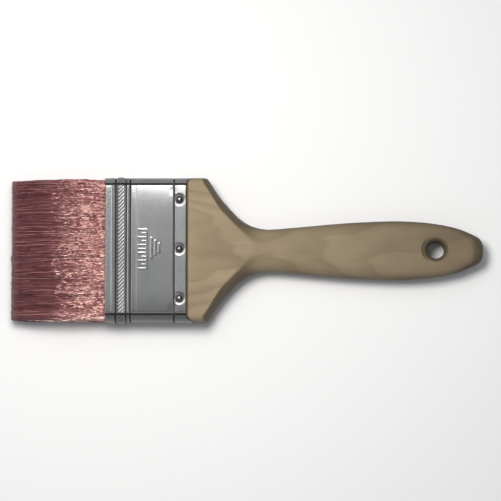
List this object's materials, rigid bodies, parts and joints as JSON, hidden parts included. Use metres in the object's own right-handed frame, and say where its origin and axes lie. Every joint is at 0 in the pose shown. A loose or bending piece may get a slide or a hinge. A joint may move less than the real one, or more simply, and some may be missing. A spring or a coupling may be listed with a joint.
{
  "type": "flat paint brush",
  "caption": "Flat paint brush with crimson synthetic filaments, a rolled steel ferrule fixed by nails, and a shaped bare wooden handle with a hang hole.",
  "frame": {"origin": "centre of the footprint, on the surface that the brush lies on", "axes": "+X from the bristles towards the handle's tail, +Y across the width, +Z out of the front face"},
  "size_m": [0.2502, 0.0772, 0.018],
  "materials": {
    "bare_wood": "sanded, unvarnished",
    "steel_sheet": "bright rolled sheet",
    "nail_steel": "polished",
    "filament": "tapered synthetic filament",
    "resin": "cast",
    "spacer_fibre": "pressed fibre"
  },
  "bodies": {
    "brush": {"handle": "bare_wood", "ferrule": "steel_sheet", "resin_setting": "resin", "spacer_front": "spacer_fibre", "spacer_back": "spacer_fibre", "filament_root_front": "filament", "filament_root_middle": "filament", "filament_root_back": "filament", "nail_front_1": "nail_steel", "nail_front_2": "nail_steel", "nail_front_3": "nail_steel", "nail_back_1": "nail_steel", "nail_back_2": "nail_steel", "nail_back_3": "nail_steel"},
    "bristles": {"filament_bank_front": "filament", "filament_bank_middle": "filament", "filament_bank_back": "filament"}
  },
  "joints": [
    {"name": "bristle_flex", "type": "hinge", "parent": "brush", "child": "bristles", "pos_m": [-0.083, 0, 0.009], "axis": [0, 1, 0], "range_deg": [-40, 40], "stiffness_Nm_per_rad": 0.45}
  ]
}
